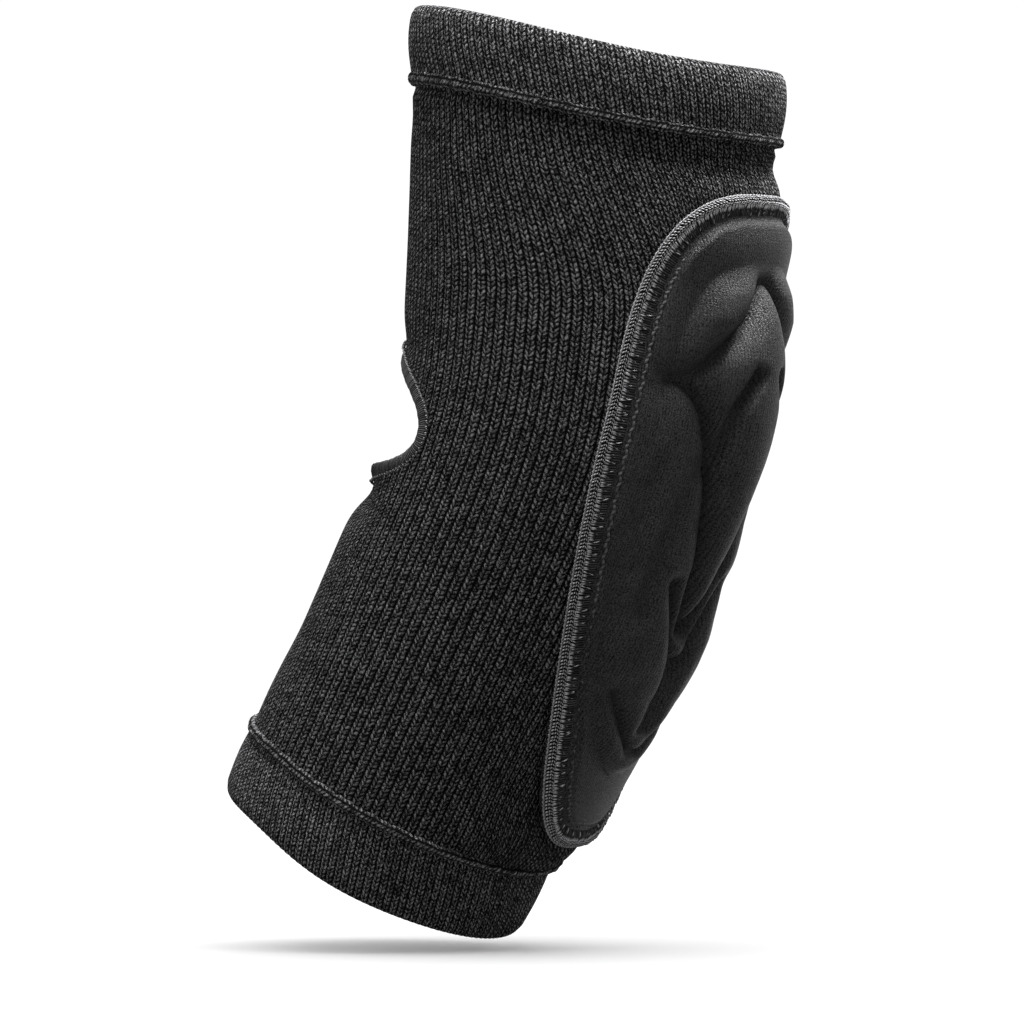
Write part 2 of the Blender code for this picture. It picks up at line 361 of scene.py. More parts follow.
def knit_finish(name, light, dark):
    """Stocking stitch: each wale is a column of V stitches, with painted shade in the gap on both sides."""
    f = Finish(name)
    wale, course = f.pattern()
    from_middle = f.math("ABSOLUTE", f.math("SUBTRACT", f.math("FRACT", wale), 0.5))
    outward = f.math("MULTIPLY", from_middle, 2.0)
    wander = f.math("MULTIPLY", f.noise(420.0), 1.3)
    wander = f.math("MULTIPLY_ADD", f.noise(1500.0), 0.6, wander)
    place = f.math("ADD", f.math("MULTIPLY_ADD", outward, 0.85, course), wander)
    leg = f.arch(place)
    across = f.math("SINE", f.math("MULTIPLY", f.math("MULTIPLY_ADD", outward, 0.90, 0.10), math.pi))
    height = f.math("MULTIPLY", across, f.math("MULTIPLY_ADD", leg, 0.78, 0.22))
    # Painted glints: the bright fibre specks in the colour stand in for light caught by the fibres; the same
    # noise also roughens the bump.
    fibre = f.contrast(f.noise(2000.0, 3.0, 0.75), 4.4)
    fuzz = f.contrast(f.noise(900.0, 2.0, 0.6), 2.4)
    # A random brightness for each stitch: partly the yarn's own tone and partly painted sparkle.
    stitch = f.cell_noise(f.math("MULTIPLY", wale, 2.0), place)
    # Painted shade: the colour darkens with the stitch's height, to near black in the gaps between wales,
    # where shade falls.
    painted_light_and_tone = f.math("MULTIPLY", height, f.math("MULTIPLY_ADD", stitch, 0.45, 0.62))
    painted_light_and_tone = f.math("MULTIPLY", painted_light_and_tone, f.math("MULTIPLY_ADD", fibre, 1.05, 0.36))
    painted_light_and_tone = f.math("MULTIPLY", painted_light_and_tone, f.math("MULTIPLY_ADD", fuzz, 0.40, 0.80))
    colour = f.ramp(painted_light_and_tone, ((0.0, dark), (0.22, dark * 1.8), (0.50, light * 0.30), (1.0, light)))
    f.bump(f.math("MULTIPLY_ADD", fibre, 0.28, height), 0.0011)
    return f.surface(colour, 0.9)


def thread_finish(name, light, dark, strands, slant):
    """Wound thread: so many strands for each 1 of the pattern's first number, slanted along its second."""
    f = Finish(name)
    along, across = f.pattern()
    turns = f.math("MULTIPLY_ADD", across, slant, f.math("MULTIPLY", along, strands))
    ply = f.arch(turns)
    fibre = f.noise(3000.0, 2.0, 0.7)
    each = f.cell_noise(turns, 0.0)
    # Painted shade: each strand's colour darkens where it dips between its neighbours; the per-strand and
    # fibre variation is the thread's own tone.
    painted_light_and_tone = f.math("MULTIPLY", ply, f.math("MULTIPLY_ADD", each, 0.6, 0.5))
    painted_light_and_tone = f.math("MULTIPLY", painted_light_and_tone, f.math("MULTIPLY_ADD", fibre, 0.8, 0.6))
    colour = f.ramp(painted_light_and_tone, ((0.0, dark), (0.35, dark * 2.0), (1.0, light)))
    f.bump(f.math("MULTIPLY_ADD", fibre, 0.2, ply), 0.0004)
    return f.surface(colour, 0.7, specular=0.04)


def jersey_finish(name, light, dark, sheen):
    """Smooth stretch jersey: very fine wales, a soft sheen, painted fibre highlights and a little unevenness.
    """
    f = Finish(name)
    across, along = f.pattern()
    # Painted shade between the very fine wales and courses; the same weave also drives the bump.
    weave = f.math("MULTIPLY", f.arch(across), f.math("MULTIPLY_ADD", f.arch(along), 0.4, 0.6))
    cloud = f.noise(160.0, 3.0)
    # Painted highlights: the bright fibre specks in the colour stand in for glints; the same noise drives the
    # bump and the specular level.
    fibre = f.contrast(f.noise(3000.0, 2.0, 0.7), 4.4)
    painted_light_and_tone = f.math("MULTIPLY_ADD", fibre, 0.75, f.math("MULTIPLY", weave, 0.25))
    painted_light_and_tone = f.math("MULTIPLY", painted_light_and_tone, f.math("MULTIPLY_ADD", cloud, 0.5, 0.75))
    colour = f.ramp(painted_light_and_tone, ((0.0, dark), (1.0, light)))
    f.bump(f.math("MULTIPLY_ADD", fibre, 0.6, f.math("MULTIPLY", weave, 0.5)), 0.00018)
    shine = f.math("MULTIPLY_ADD", painted_light_and_tone, 0.13, 0.004)
    return f.surface(colour, 0.44, sheen=sheen, sheen_roughness=0.35, specular=shine)


def foam_finish():
    """Foam with fine closed cells."""
    f = Finish("closed cell foam")
    cells = f.noise(1800.0, 3.0, 0.6)
    f.bump(cells, 0.0002)
    return f.surface(f.ramp(cells, ((0.0, 0.05), (1.0, 0.11))), 0.9)


# ---------------------------------------------------------------- the knit


def pad_half_turn(run):
    return mix(PAD_TURNS, ease(run, PAD_NARROWS_FROM, PAD_NARROWS_TO))


def pad_reach(turn, run):
    """Below 1 inside the pad's outline, 1 on it and above 1 outside."""
    across = np.abs(turn) / pad_half_turn(run)
    along = np.abs(run - PAD_MIDDLE) / PAD_HALF_RUN
    return (across**PAD_ROUNDNESS + along**PAD_ROUNDNESS) ** (1.0 / PAD_ROUNDNESS)


def opening_half(turn, below):
    """Half the opening's length: its lower end comes to a slight point at the front."""
    from_front = math.pi - from_back(turn)
    return OPENING_RUN_HALF + OPENING_POINT * hump(from_front, 0.0, 0.40) * below


def opening_reach(turn, run):
    """Below 1 inside the crook opening, 1 on its outline and above 1 outside."""
    across = (math.pi - np.abs(turn)) / OPENING_TURN_HALF
    along = np.abs(run - OPENING_RUN_MIDDLE) / opening_half(turn, run > OPENING_RUN_MIDDLE)
    return (across**OPENING_ROUNDNESS + along**OPENING_ROUNDNESS) ** (1.0 / OPENING_ROUNDNESS)


def sleeve_wale(turn, run):
    """Which wale lies here: straight down the arm, but drawn towards the pad's top at the sides."""
    away = np.abs(turn)
    width = np.where(away < 0.72, 0.50, 1.25)
    pull = hump(away, 0.72, width) * ease(away, 0.0, 0.5)
    drawn = np.sign(turn) * pull * 0.34 * ease(run, 0.06, 0.30)
    return WALES * (turn + drawn) / (2.0 * math.pi)


def cuff_wale(turn, run):
    """The cuffs' wales lean, because the cuff twists a little on the arm."""
    return CUFF_WALES * (turn + 1.1 * run) / (2.0 * math.pi)


def rib(wale):
    """The round of a wale's top across its width, from 0 in the gap to 1 on the crest."""
    return np.sin(math.pi * np.mod(wale, 1.0)) ** 0.8


def sleeve_lift(turn, run):
    """How far the fabric stands off the arm: drawn up to the pad's seam, and slack below the pad."""
    to_seam = 0.0016 * (1.0 - ease(pad_reach(turn, run), 1.0, 1.20))
    at_back = 1.0 - ease(np.abs(turn), 0.3, 1.1)
    below_pad = (0.0022 * hump(run, 0.872, 0.03) - 0.0012 * ease(run, 0.89, 0.93)) * at_back
    away = from_back(turn)
    waist = -0.0016 * hump(run, 0.118, 0.02) * (1.0 - 0.8 * ease(away, 0.5, 1.6))
    groove = -0.0008 * hump(run, 0.0895, 0.005)
    lips = 0.0030 * hump(run, 0.588, 0.035) + 0.0014 * hump(run, 0.385, 0.03)
    front = -0.0012 * ease(away, 1.9, 2.6) * ease(run, 0.50, 0.62) * (1.0 - ease(run, 0.78, 0.88))
    return to_seam + below_pad + waist + groove - lips * ease(away, 1.95, 2.5) + front


def stretched(turn, run):
    """1 where the knit is pulled flat over the front of the forearm, 0 where its ribs stand up."""
    return ease(np.abs(turn), math.radians(105), math.radians(150)) * (0.35 + 0.65 * ease(run, 0.5, 0.62))


def fabric_tube(name, runs, outer, inner, wale, course, rows, drop=None):
    """A closed two-layer tube of ribbed knit: down the outside, round the lower edge, up the inside."""
    outer_rows, fold_rows, inner_rows = rows
    fold = np.linspace(0.0, math.pi, fold_rows + 2)[1:-1]
    edge = KNIT_THICKNESS * 0.5
    down = np.linspace(0.0, 1.0, outer_rows + 1)
    up = np.linspace(1.0, 0.0, inner_rows + 1)
    share = np.concatenate([down, np.ones(fold_rows), up, np.zeros(fold_rows), [0.0]])
    past = np.concatenate([down * 0, np.sin(fold), up * 0, -np.sin(fold), [0.0]]) * edge
    layer = np.concatenate(
        [down * 0, (1 - np.cos(fold)) / 2, up * 0 + 1, (1 + np.cos(fold)) / 2, [0.0]]
    )
    count = len(share) - 1

    def place(a, b):
        row = b * count
        at = np.arange(count + 1)
        turn = around(a)
        run = mix(runs, np.interp(row, at, share)) + np.interp(row, at, past) / ARM_LENGTH
        return turn, run, np.interp(row, at, layer)

    def points(a, b):
        turn, run, side = place(a, b)
        ribs = rib(wale(turn, run)) * (1.0 - 0.55 * stretched(turn, run))
        height = mix((outer(turn, run), inner(turn, run)), side)
        height = height + RIB_HEIGHT * ribs * (1.0 - side) - 0.3 * RIB_HEIGHT * ribs * side
        return drape(turn, run, height)

    def pattern(a, b):
        turn, run, _ = place(a, b)
        return wale(turn, run), run * ARM_LENGTH / course

    def dropped(a, b):
        turn, run, _ = place(a, b)
        return drop(turn, run)

    mesh = unit_grid(WALES * WALE_COLUMNS, count)
    return shape_mesh(name, mesh, points, pattern, dropped if drop else None)


def make_sleeve(knit, knit_fine):
    seam_middle = UPPER_CUFF_END + CUFF_SEAM_RUN / 2.0
    lower_seam_middle = LOWER_CUFF_START - CUFF_SEAM_RUN / 2.0
    sleeve = fabric_tube(
        "sleeve_knit",
        (seam_middle, lower_seam_middle),
        sleeve_lift,
        lambda turn, run: sleeve_lift(turn, run) - KNIT_THICKNESS,
        sleeve_wale,
        COURSE,
        (92, 1, 24),
        lambda turn, run: (pad_reach(turn, run) < PAD_EDGE) | (opening_reach(turn, run) < OPENING_EDGE),
    )
    tube = add_piece(
        "sleeve_knit", sleeve, knit, ("upper_sleeve_knit", "elbow_knit", "forearm_sleeve_knit")
    )
    bend_with_elbow(tube)

    def upper_outer(turn, run):
        swell = np.sin(np.clip(run / UPPER_CUFF_END, 0.0, 1.0) * math.pi)
        return 0.0004 + 0.0009 * swell - 0.0008 * (1.0 - ease(run, 0.0, 0.012))

    def lower_outer(turn, run):
        swell = np.sin(np.clip((1.0 - run) / (1.0 - LOWER_CUFF_START), 0.0, 1.0) * math.pi)
        shrunk = 0.0012 * (1.0 - ease(np.abs(turn), 0.6, 1.4))
        return 0.0002 + 0.0005 * swell - 0.0006 * (1.0 - ease(1.0 - run, 0.0, 0.010)) - shrunk

    cuffs = (
        ("upper_cuff_knit", (0.003, seam_middle), upper_outer, "upper_cuff", UPPER),
        ("lower_cuff_knit", (lower_seam_middle, 0.997), lower_outer, "lower_cuff", FOREARM),
    )
    for name, runs, outer, node, body in cuffs:
        cuff = fabric_tube(
            name,
            runs,
            outer,
            lambda turn, run: outer(turn, run) - CUFF_THICKNESS,
            cuff_wale,
            CUFF_COURSE,
            (12, 4, 8),
        )
        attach(add_piece(name, cuff, knit_fine, (node,)), body)


# ---------------------------------------------------------------- seams


def ring_band(name, run, half_run, low, high, columns, rows, ridge):
    """A round ridge that goes right round the arm."""

    def points(a, b):
        turn = around(a)
        angle = b * 2.0 * math.pi
        side, rise = np.cos(angle), np.sin(angle)
        side = side * (1.0 + 0.10 * np.sin(turn * 37.0) + 0.08 * np.sin(turn * 83.0))
        middle, half = (high + low) / 2.0, (high - low) / 2.0
        return drape(turn, run + side * half_run, middle + rise * half + ridge(turn, angle))

    def pattern(a, b):
        return b * 3.0, a * 230.0

    return shape_mesh(name, unit_grid(columns, rows), points, pattern)


def make_linking_seams(thread):
    """The ridge where a cuff is linked to the sleeve: a row of small upright stitches."""
    stitches = 210

    def ridge(turn, angle):
        wave = np.sin(turn * stitches / 2.0 + 1.6 * np.cos(angle)) * np.sin(turn * 67.0 + 2.0 * angle)
        wander = 0.00010 * np.sin(turn * 9.0) + 0.00008 * np.sin(turn * 23.0 + 1.0)
        return 0.00016 * wave + wander

    seams = (
        ("upper_linking_seam", UPPER_CUFF_END + CUFF_SEAM_RUN * 0.45, "upper_cuff_seam", UPPER),
        ("lower_linking_seam", LOWER_CUFF_START - CUFF_SEAM_RUN * 0.45, "lower_cuff_seam", FOREARM),
    )
    for name, run, node, body in seams:
        size = LINKING_HALF_RUN, LINKING_FOOT, LINKING_TOP
        band = ring_band(name, run, *size, stitches * 5, 14, ridge)
        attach(add_piece(name, band, thread, (node,)), body)


class Route:
    """A closed outline on the arm, measured in metres along it."""

    def __init__(self, turn, run, lift):
        self.turn, self.run, self.lift = turn, run, lift
        flat = drape(turn, run, 0.0)
        step = np.linalg.norm(np.diff(flat, axis=0), axis=1)
        self.at = np.concatenate([[0.0], np.cumsum(step)])
        self.length = self.at[-1]
        way = np.gradient(flat, self.at, axis=0)
        way[0] = way[-1] = way[0] + way[-1]
        out = np.cross(way, arm_normals(turn, run))
        out /= np.linalg.norm(out, axis=1, keepdims=True)
        # How much turn and run change over a metre outwards.
        small = 0.001
        across = (arm_points(turn + small, run) - arm_points(turn - small, run)) / (2.0 * small)
        along = (arm_points(turn, run + small) - arm_points(turn, run - small)) / (2.0 * small)
        self.out_turn = (out * across).sum(1) / (across * across).sum(1)
        self.out_run = (out * along).sum(1) / (along * along).sum(1)

    def place(self, along, outward, height):
        """The point this far along the outline, this far outside it and this high."""
        along = np.mod(along, self.length)
        turn = np.interp(along, self.at, self.turn) + outward * np.interp(along, self.at, self.out_turn)
        run = np.interp(along, self.at, self.run) + outward * np.interp(along, self.at, self.out_run)
        return drape(turn, run, height + self.lift(turn, run))


def superellipse(points, roundness):
    """Points round a unit superellipse, closed, starting at the top."""
    angle = np.linspace(0.0, 2.0 * math.pi, points + 1)
    across, along = np.sin(angle), -np.cos(angle)
    size = (np.abs(across) ** roundness + np.abs(along) ** roundness) ** (-1.0 / roundness)
    return across * size, along * size


def wrist_lift(run):
    """How much further out the arm's padded back stands towards the wrist."""
    return 0.0032 * ease(run, 0.52, 0.76)


def pad_lift(turn, run):
    """How far the pad's outline stands off the arm."""
    return 0.0006 + wrist_lift(run) * (1.0 - ease(np.abs(turn), 0.2, 0.75))


def pad_route():
    across, along = superellipse(1600, PAD_ROUNDNESS)
    run = PAD_MIDDLE + along * PAD_HALF_RUN
    return Route(across * pad_half_turn(run), run, pad_lift)


def opening_route():
    across, along = superellipse(1200, OPENING_ROUNDNESS)
    turn = math.pi + across * OPENING_TURN_HALF
    run = OPENING_RUN_MIDDLE + along * opening_half(turn, along > 0.0)
    return Route(turn, run, lambda turn, run: sleeve_lift(turn, run) + 0.0004)


def band_along(name, route, section, columns, rows):
    """A closed band that follows a route. section takes the distance along and the angle round the band."""

    def points(a, b):
        outward, height = section(a * route.length, b * 2.0 * math.pi)
        return route.place(a * route.length, outward, height)

    def pattern(a, b):
        return a * route.length * 1000.0, b

    return shape_mesh(name, unit_grid(columns, rows), points, pattern)


def threads_along(name, route, pitch, shape, sides, segments, jitter, seed, warp=None):
    """One thread, repeated along a route by an Array and then draped with it.

    shape takes the share along the thread and the angle round it, and gives along, outward and height. jitter
    is how much each copy strays in those three, and warp may move the points while they are still flat.
    """
    count = int(route.length / pitch)
    pitch = route.length / count
    template = shape_mesh(
        name + "_one",
        unit_grid(sides, segments),
        lambda a, b: np.stack(shape(b, a * 2.0 * math.pi), axis=-1),
        lambda a, b: (b, a),
    )
    obj = bpy.data.objects.new(name + "_one", template)
    bpy.context.scene.collection.objects.link(obj)
    array = obj.modifiers.new("repeat", "ARRAY")
    array.count = count
    array.use_relative_offset = False
    array.use_constant_offset = True
    array.constant_offset_displace = (pitch, 0.0, 0.0)
    graph = bpy.context.evaluated_depsgraph_get()
    data = bpy.data.meshes.new_from_object(obj.evaluated_get(graph))
    bpy.data.objects.remove(obj)
    flat = coordinates(data)
    copy = np.repeat(np.arange(count), len(flat) // count)
    random = np.random.default_rng(seed)
    shift = (random.random((count, 3)) - 0.5) * np.array(jitter)
    flat += shift[copy]
    if warp:
        warp(flat, copy * pitch)
    data.vertices.foreach_set(
        "co", route.place(flat[:, 0], flat[:, 1], flat[:, 2]).astype(np.float32).ravel()
    )
    data.update()
    data.name = name
    return data


def make_crook_edge(thread, pale_thread):
    """The overcast edge of the crook opening, with its row of stitches on the sleeve's side."""
    route = opening_route()
    pitch = 0.00062
    count = int(route.length / pitch)

    def section(along, angle):
        wound = np.abs(np.sin(along / route.length * count * math.pi))
        uneven = 0.00012 * np.sin(along * 900.0) + 0.0001 * np.sin(along * 2100.0)
        outward = -0.0017 + 0.0021 * np.cos(angle) + 0.5 * uneven
        height = -0.0009 + (0.0014 + 0.00007 * wound) * np.sin(angle)
        return outward, height

    band = band_along("crook_edge_overcast", route, section, count * 4, 12)
    edge = add_piece("crook_edge_overcast", band, thread, ("crook_opening_edge",))
    bend_with_elbow(edge)

    def stitch(share, angle):
        radius = 0.00017
        along = (share - 0.5) * 0.0010
        lift = 0.0009 - 0.0007 * (2.0 * share - 1.0) ** 4
        return along, 0.0007 + radius * np.cos(angle), lift + radius * np.sin(angle)

    row = threads_along("crook_stitch_row", route, 0.0013, stitch, 6, 6, (0.0003, 0.0002, 0.0002), 3)
    bend_with_elbow(add_piece("crook_stitch_row", row, pale_thread))


def make_overlock(thread, loop_thread, chevron_thread, cord_thread, pale_thread):
    """The overlock seam round the pad.

    It has a roll, threads that fan over it, two rows of chevrons, a cord along its inner edge and a pale
    thread along its outer edge.
    """
    route = pad_route()
    pitch = 0.00085
    count = int(route.length / pitch)
    half = SEAM_WIDTH / 2.0

    def section(along, angle):
        lean = along + 0.0008 * np.cos(angle)
        wound = np.abs(np.sin(lean / route.length * count * math.pi))
        uneven = 0.00018 * np.sin(along * 700.0 + 1.0) + 0.00012 * np.sin(along * 1900.0)
        outward = -half + (half + uneven) * np.cos(angle)
        rise = np.sin(angle)
        top = SEAM_CREST - 0.0014 + 0.00012 * wound
        return outward, 0.0012 + np.where(rise > 0.0, top * np.abs(rise) ** 0.8, 0.0026 * rise)

    roll = band_along("pad_overlock_roll", route, section, count * 5, 14)
    nodes = ("pad_seam_upper", "pad_seam_elbow_left", "pad_seam_elbow_right", "pad_seam_forearm")
    bend_with_elbow(add_piece("pad_overlock_roll", roll, thread, nodes))

    cells = int(route.length / 0.0036)

    def gather(flat, start):
        """Draw the inner ends of the threads together at each hole of the needle."""
        cell = route.length / cells
        hole = (np.floor(start / cell) + 0.5) * cell
        inner = ease(-flat[:, 1], 0.0018, SEAM_WIDTH)
        flat[:, 0] += (hole - flat[:, 0]) * 0.62 * inner
        flat[:, 2] -= 0.0013 * inner * hump(flat[:, 0], hole, 0.0007)

    def fan(share, angle):
        radius = 0.00021
        outward = -0.0016 - share * (SEAM_WIDTH - 0.0015)
        arch = SEAM_CREST - 0.0013 * share**2.4
        return radius * np.cos(angle) + 0.0004 * share, outward, arch + radius * np.sin(angle)

    fans = threads_along(
        "pad_overlock_fans", route, 0.00058, fan, 5, 8, (0.0005, 0.0004, 0.0003), 11, gather
    )
    bend_with_elbow(add_piece("pad_overlock_fans", fans, loop_thread))

    for side, name in ((1.0, "pad_overlock_chevrons_a"), (-1.0, "pad_overlock_chevrons_b")):

        def chevron(share, angle, side=side):
            radius = 0.00024
            outward = -0.0009 + side * (0.0001 + 0.0010 * share)
            lift = SEAM_CREST + 0.0003 - (0.0012 if side > 0.0 else 0.0003) * share**1.6
            return 0.0009 * share + radius * np.cos(angle), outward, lift + radius * np.sin(angle)

        row = threads_along(name, route, 0.00092, chevron, 5, 5, (0.0002, 0.0002, 0.0002), 5)
        bend_with_elbow(add_piece(name, row, chevron_thread))

    def inner_cord(along, angle):
        sway = 0.00022 * np.cos(along / route.length * cells * 2.0 * math.pi)
        radius = 0.00038 + 0.00005 * np.sin(along * 5200.0)
        outward = -SEAM_WIDTH - 0.0004 + sway + radius * np.cos(angle)
        return outward, SEAM_INNER_HEIGHT + 0.0007 + radius * np.sin(angle)

    cord = band_along("pad_overlock_inner_cord", route, inner_cord, cells * 10, 6)
    bend_with_elbow(add_piece("pad_overlock_inner_cord", cord, cord_thread))

    edge_turns = int(route.length / 0.0012)

    def edge(along, angle):
        twist = along / route.length * edge_turns * 2.0 * math.pi
        radius = 0.00026 + 0.00005 * np.cos(twist + angle)
        outward = 0.0001 + 0.00008 * np.sin(twist) + radius * np.cos(angle)
        return outward, 0.0026 + radius * np.sin(angle)

    cord = band_along("pad_overlock_edge_thread", route, edge, edge_turns * 4, 6)
    bend_with_elbow(add_piece("pad_overlock_edge_thread", cord, pale_thread))


# ---------------------------------------------------------------- the pad

# The near half of each line on the pad, as (turn in degrees, run). The far half mirrors it.
RAISED_EDGE = (
    (0, 0.224), (3, 0.225), (12, 0.229), (20.5, 0.240), (26, 0.260), (30.5, 0.300), (33, 0.335),
    (33.5, 0.352), (34.5, 0.362), (36.5, 0.392), (37, 0.430), (36.5, 0.475), (35, 0.52), (32, 0.57),
    (28.5, 0.62), (24.5, 0.665), (19, 0.705), (10, 0.742), (0, 0.760),
)
# Each valley: its line, how much of the padding it takes away, and its width in metres.
VALLEYS = (
    (
        ((0, 0.246), (4, 0.264), (9, 0.290), (18, 0.322), (24, 0.343), (29.5, 0.3565), (33, 0.359)),
        0.66, 0.0027,
    ),
    (
        (
            (33, 0.357), (28.5, 0.361), (21.5, 0.382), (17, 0.412), (13.5, 0.440), (10.5, 0.468),
            (8, 0.50), (5.5, 0.535), (3, 0.57), (0, 0.597),
        ),
        0.96, 0.0023,
    ),
    (((13, 0.552), (8.5, 0.583), (4.5, 0.610), (0, 0.633)), 0.62, 0.0021),
    (((0, 0.633), (0, 0.665), (0, 0.700)), 0.55, 0.0026),
    (((18, 0.668), (10, 0.700), (4, 0.718), (0, 0.728)), 0.48, 0.0017),
)
# The softer creases: their lines, depth and width.
CREASES = (
    (((18.5, 0.445), (20.5, 0.465), (21.5, 0.495), (22.5, 0.522), (22.5, 0.55), (21, 0.583)), 0.26, 0.0026),
    (((31.5, 0.445), (31.5, 0.475), (30.5, 0.515), (29.0, 0.545)), 0.20, 0.0026),
    (((5, 0.345), (7.5, 0.360), (10.5, 0.378), (11.5, 0.40), (12.5, 0.425), (13.5, 0.440)), 0.42, 0.0017),
)
# The padding's full height over the arm, in millimetres: a row for each run, a column for each turn.
FORM_TURNS = 0, 5, 10, 15, 20, 25, 30, 36, 52
FORM = (
    (0.150, 4.8, 4.8, 4.8, 4.8, 4.8, 4.8, 4.6, 4.4, 3.8),
    (0.215, 5.4, 5.4, 5.3, 5.2, 5.1, 5.0, 4.8, 4.5, 3.8),
    (0.240, 7.4, 7.3, 7.1, 6.9, 6.6, 6.2, 5.4, 4.6, 3.8),
    (0.260, 9.0, 8.8, 8.4, 8.2, 7.9, 7.3, 6.0, 4.6, 3.8),
    (0.290, 10.0, 9.8, 9.3, 9.1, 8.8, 8.1, 6.8, 4.7, 3.8),
    (0.330, 10.4, 10.2, 9.4, 8.7, 8.2, 7.4, 6.4, 4.6, 3.8),
    (0.370, 10.6, 10.2, 9.2, 8.1, 7.3, 6.4, 5.6, 4.5, 3.8),
    (0.410, 10.6, 10.1, 9.0, 7.6, 6.7, 5.9, 5.2, 4.4, 3.8),
    (0.450, 10.4, 9.8, 8.6, 7.4, 6.6, 5.8, 5.2, 4.4, 3.8),
    (0.490, 10.2, 9.8, 8.6, 7.6, 6.7, 6.0, 5.4, 4.5, 3.8),
    (0.530, 10.2, 10.6, 10.4, 8.9, 7.5, 6.9, 6.2, 5.0, 4.0),
    (0.570, 11.6, 12.0, 11.2, 9.8, 8.6, 7.8, 7.0, 5.4, 4.5),
    (0.605, 13.8, 14.0, 12.2, 10.8, 9.6, 8.8, 7.8, 6.0, 5.0),
    (0.630, 13.8, 13.4, 12.0, 10.9, 9.9, 9.3, 8.1, 6.6, 5.8),
    (0.670, 11.6, 11.6, 11.1, 10.3, 9.5, 8.8, 7.8, 7.0, 6.6),
    (0.710, 12.6, 12.4, 11.6, 10.4, 9.2, 8.3, 7.7, 7.2, 7.0),
    (0.745, 11.6, 11.0, 10.4, 9.4, 8.6, 8.0, 7.7, 7.4, 7.2),
    (0.780, 8.8, 8.8, 8.6, 8.4, 8.1, 7.8, 7.6, 7.4, 7.2),
    (0.820, 8.2, 8.2, 8.1, 8.0, 7.8, 7.6, 7.6, 7.4, 7.2),
    (0.870, 8.0, 8.0, 8.0, 7.8, 7.6, 7.6, 7.4, 7.2, 7.0),
)


def smooth_line(points, count=60):
    """A smooth line in metres on the flat pad through (turn in degrees, run) points."""
    points = np.array(points, float)
    flat = np.stack([np.radians(points[:, 0]) * ARM_RADIUS, points[:, 1] * BACK_LENGTH], axis=1)
    mirror = np.array((-1.0, 1.0))
    before = flat[1] * mirror if points[0, 0] == 0.0 else 2 * flat[0] - flat[1]
    after = flat[-2] * mirror if points[-1, 0] == 0.0 else 2 * flat[-1] - flat[-2]
    padded = np.concatenate([[before], flat, [after]])
    share = np.linspace(0.0, len(flat) - 1.0, count)
    first = np.minimum(share.astype(int), len(flat) - 2)
    t = (share - first)[:, None]
    p0, p1, p2, p3 = (padded[first + i] for i in range(4))
    return 0.5 * (
        2 * p1 + (p2 - p0) * t + (2 * p0 - 5 * p1 + 4 * p2 - p3) * t**2 + (3 * p1 - p0 - 3 * p2 + p3) * t**3
    )


def distance_to(line, x, y):
    """How far each place on the near half of the flat pad is from a line."""
    best = np.full(x.shape, 1.0)
    for start, end in zip(line[:-1], line[1:]):
        way = end - start
        share = np.clip(((x - start[0]) * way[0] + (y - start[1]) * way[1]) / (way @ way), 0.0, 1.0)
        best = np.minimum(best, np.hypot(x - start[0] - share * way[0], y - start[1] - share * way[1]))
    return best


def inside(line, x, y):
    """Whether each place on the near half is inside the raised edge."""
    found = np.zeros(x.shape, bool)
    closed = np.concatenate([line, line[:1]])
    for start, end in zip(closed[:-1], closed[1:]):
        crosses = (start[1] > y) != (end[1] > y)
        slope = (end[0] - start[0]) / (end[1] - start[1] + 1e-12)
        found ^= crosses & (x < start[0] + slope * (y - start[1]))
    return found


def from_middle(turn):
    """How far round from the middle of the back, without a kink there."""
    return turn * np.tanh(turn / 0.09)


def flat_place(turn, run):
    """The place on the flat pad in metres, with the far half folded over onto the near half."""
    return from_middle(turn) * ARM_RADIUS, run * BACK_LENGTH


def raised(turn, run):
    """How far the padding has risen over its flange, from 0 to 1."""
    x, y = flat_place(turn, run)
    # Just off the middle, where the raised edge closes on itself.
    x = x + 1e-5
    edge = smooth_line(RAISED_EDGE, 120)
    within = np.where(inside(edge, x, y), distance_to(edge, x, y), 0.0)
    return 1.0 - np.exp(-within / PAD_EDGE_ROUNDING)


def channels(turn, run):
    """What the sewn valleys and the creases leave of the padding, from 0 to 1."""
    x, y = flat_place(turn, run)
    form = np.ones(np.shape(turn))
    for line, depth, width in VALLEYS:
        form *= 1.0 - depth * np.exp(-distance_to(smooth_line(line), x, y) / width)
    for line, depth, width in CREASES:
        form *= 1.0 - depth * hump(distance_to(smooth_line(line), x, y), 0.0, width)
    return form


def seam_distance(turn, run):
    """How far in from the pad's outline each place is, in metres."""
    count = 200
    across, along = superellipse(count, PAD_ROUNDNESS)
    outline_run = PAD_MIDDLE + along * PAD_HALF_RUN
    outline_x = across * pad_half_turn(outline_run) * ARM_RADIUS
    outline = np.stack([outline_x, outline_run * BACK_LENGTH], axis=1)
    near_half = outline[: count // 2 + 1]
    return distance_to(near_half, np.abs(turn) * ARM_RADIUS, run * BACK_LENGTH)


